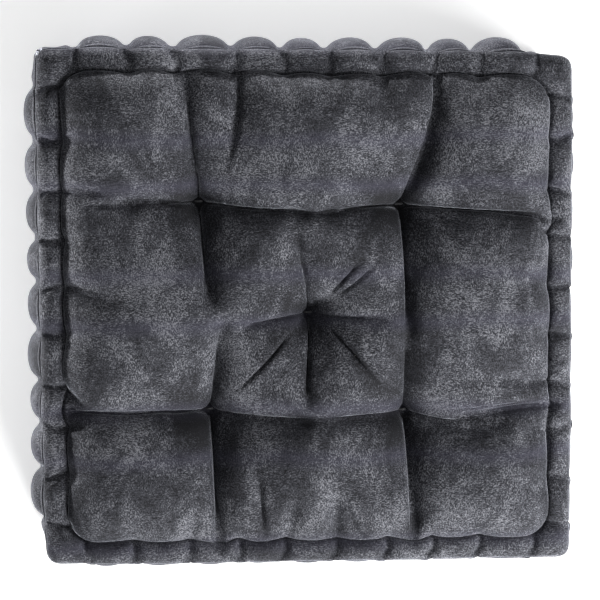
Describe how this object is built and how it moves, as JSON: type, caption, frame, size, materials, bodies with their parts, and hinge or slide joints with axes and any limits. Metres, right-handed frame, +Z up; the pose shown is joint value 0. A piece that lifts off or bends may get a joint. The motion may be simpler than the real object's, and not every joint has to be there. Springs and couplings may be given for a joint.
{
  "type": "floor cushion",
  "caption": "Square boxed floor cushion in charcoal chenille, thread-tufted through its fibre filling, with a stitched roll along both edges.",
  "frame": {"origin": "on the floor, under the middle of the cushion: the centre of the bounding box's bottom face", "axes": "+Z up, X along the wider side of the cushion, Y from front to back"},
  "size_m": [0.508, 0.493, 0.127],
  "materials": {
    "chenille_cover": "charcoal chenille with a crushed pile, soft sheen and fine ribs",
    "fibre_fill": "matt white polyester fibre",
    "tuft_twine": "matt black waxed twine",
    "sewing_thread": "dark grey polyester sewing thread"
  },
  "bodies": {
    "root": {"bottom_panel": "chenille_cover", "bottom_roll_stitches_back": "sewing_thread", "bottom_roll_stitches_front": "sewing_thread", "bottom_roll_stitches_left": "sewing_thread", "bottom_roll_stitches_right": "sewing_thread", "bottom_seam_thread": "sewing_thread", "corner_seam_threads": "sewing_thread", "fill_core": "fibre_fill", "gusset_back": "chenille_cover", "gusset_front": "chenille_cover", "gusset_left": "chenille_cover", "gusset_right": "chenille_cover", "top_panel": "chenille_cover", "top_roll_stitches_back": "sewing_thread", "top_roll_stitches_front": "sewing_thread", "top_roll_stitches_left": "sewing_thread", "top_roll_stitches_right": "sewing_thread", "top_seam_thread": "sewing_thread", "tuft_cord_back_left": "tuft_twine", "tuft_cord_back_right": "tuft_twine", "tuft_cord_centre": "tuft_twine", "tuft_cord_front_left": "tuft_twine", "tuft_cord_front_right": "tuft_twine", "tuft_knot_back_left": "tuft_twine", "tuft_knot_back_right": "tuft_twine", "tuft_knot_centre": "tuft_twine", "tuft_knot_front_left": "tuft_twine", "tuft_knot_front_right": "tuft_twine"}
  },
  "joints": []
}
